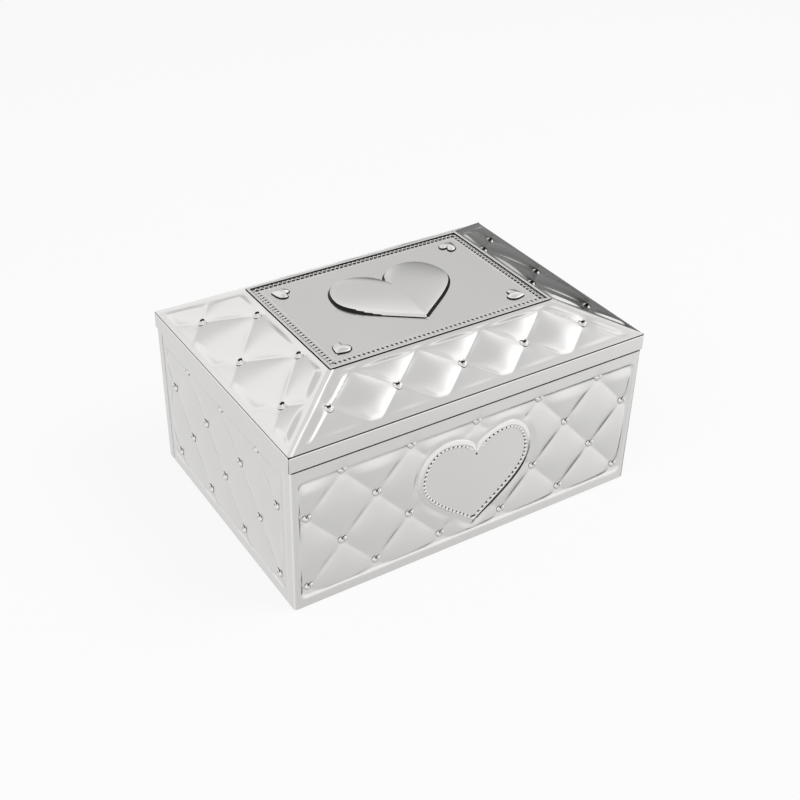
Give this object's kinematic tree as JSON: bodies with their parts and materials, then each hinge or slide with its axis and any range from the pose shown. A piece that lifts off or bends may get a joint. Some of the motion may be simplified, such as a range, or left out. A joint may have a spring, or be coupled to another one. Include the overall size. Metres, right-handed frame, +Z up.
{
  "type": "ballerina music box",
  "caption": "Hinged quilted metal keepsake box with a hipped lid, compartments, a wound comb movement and a doll that rises and turns as the lid opens.",
  "frame": {"origin": "centre of the case's footprint, on the surface that it stands on", "axes": "+Z up, +X to the right along the front, +Y to the back, where the hinges and the key are"},
  "size_m": [0.15, 0.1209, 0.08],
  "materials": {
    "silver_plate": "satin silver plate",
    "felt": "felt",
    "wood": "raw board",
    "velvet": "velvet",
    "mirror_glass": "polished",
    "brass": "satin",
    "steel": "ground",
    "spring_steel": "blued",
    "doll_plastic": "painted plastic",
    "tulle": "tulle"
  },
  "bodies": {
    "case": {"base_felt": "felt", "base_board": "wood", "front_panel": "silver_plate", "rear_panel": "silver_plate", "left_panel": "silver_plate", "right_panel": "silver_plate", "front_board": "wood", "rear_board": "wood", "left_board": "wood", "right_board": "wood", "case_trim": "silver_plate", "wall_lining": "velvet", "floor_lining": "velvet", "chamber_wall": "velvet", "deck_board": "velvet", "left_divider": "velvet", "right_divider": "velvet", "cross_divider": "velvet", "ring_roll_1": "velvet", "ring_roll_2": "velvet", "ring_roll_3": "velvet", "bedplate": "brass", "comb": "steel", "comb_screw_1": "steel", "comb_screw_2": "steel", "front_bridge": "brass", "cylinder_bracket": "brass", "governor_bracket": "brass", "key_escutcheon": "silver_plate", "movement_screw_1": "steel", "movement_screw_2": "steel", "left_body_leaf": "silver_plate", "right_body_leaf": "silver_plate", "left_hinge_pin": "steel", "right_hinge_pin": "steel"},
    "lid": {"lid_rim_band": "silver_plate", "lid_hip_cover": "silver_plate", "lid_top_plate": "silver_plate", "lid_frame": "wood", "lid_board": "wood", "lid_lining": "velvet", "lid_mirror": "mirror_glass", "left_lid_leaf": "silver_plate", "right_lid_leaf": "silver_plate"},
    "winding": {"winding_key": "silver_plate", "winding_arbor": "steel"},
    "barrel": {"spring_barrel": "brass", "barrel_cover": "brass", "mainspring": "spring_steel"},
    "cylinder": {"pinned_cylinder": "brass"},
    "governor": {"governor_worm": "steel", "governor_fly": "steel"},
    "plunger": {"stop_plunger": "steel", "return_spring": "spring_steel"},
    "turntable": {"spindle": "brass", "turntable": "silver_plate"},
    "doll_fold": {"doll_spring": "steel"},
    "ballerina": {"foot_cap": "silver_plate", "figure": "doll_plastic", "tutu": "tulle"}
  },
  "joints": [
    {"name": "lid_hinge", "type": "hinge", "parent": "case", "child": "lid", "pos_m": [0, 0.0551, 0.06015], "axis": [-1, 0, 0], "range_deg": [0, 100]},
    {"name": "ballerina_fold", "type": "hinge", "parent": "case", "child": "doll_fold", "pos_m": [0, 0.02584, 0.0467], "axis": [-1, 0, 0], "range_deg": [0, 90], "deforming": ["doll_spring"]},
    {"name": "figure_spin", "type": "hinge", "parent": "doll_fold", "child": "ballerina", "pos_m": [0, 0.02584, 0.0467], "axis": [0, -1, 0], "continuous": true},
    {"name": "plunger_slide", "type": "slide", "parent": "case", "child": "plunger", "axis": [0, 0, 1], "range_m": [0, 0.004], "deforming": ["return_spring"]},
    {"name": "key_turn", "type": "hinge", "parent": "case", "child": "winding", "pos_m": [0, 0.06, 0.0268], "axis": [0, 1, 0], "continuous": true},
    {"name": "barrel_spin", "type": "hinge", "parent": "case", "child": "barrel", "pos_m": [0, 0.035, 0.0268], "axis": [0, 1, 0], "continuous": true},
    {"name": "cylinder_spin", "type": "hinge", "parent": "case", "child": "cylinder", "pos_m": [-0.02, 0.02584, 0.0268], "axis": [1, 0, 0], "continuous": true},
    {"name": "turntable_spin", "type": "hinge", "parent": "case", "child": "turntable", "pos_m": [0, 0.02584, 0.04], "axis": [0, 0, 1], "continuous": true},
    {"name": "governor_spin", "type": "hinge", "parent": "case", "child": "governor", "pos_m": [-0.0331, 0.03115, 0.0268], "axis": [0, 0, 1], "continuous": true}
  ],
  "couplings": [
    {"joint": "ballerina_fold", "follows": "lid_hinge", "ratio": 0.9},
    {"joint": "plunger_slide", "follows": "lid_hinge", "m_per_rad": 0.00229},
    {"joint": "cylinder_spin", "follows": "barrel_spin", "ratio": 3},
    {"joint": "turntable_spin", "follows": "barrel_spin", "ratio": -3},
    {"joint": "figure_spin", "follows": "barrel_spin", "ratio": -3},
    {"joint": "governor_spin", "follows": "barrel_spin", "ratio": -48}
  ]
}
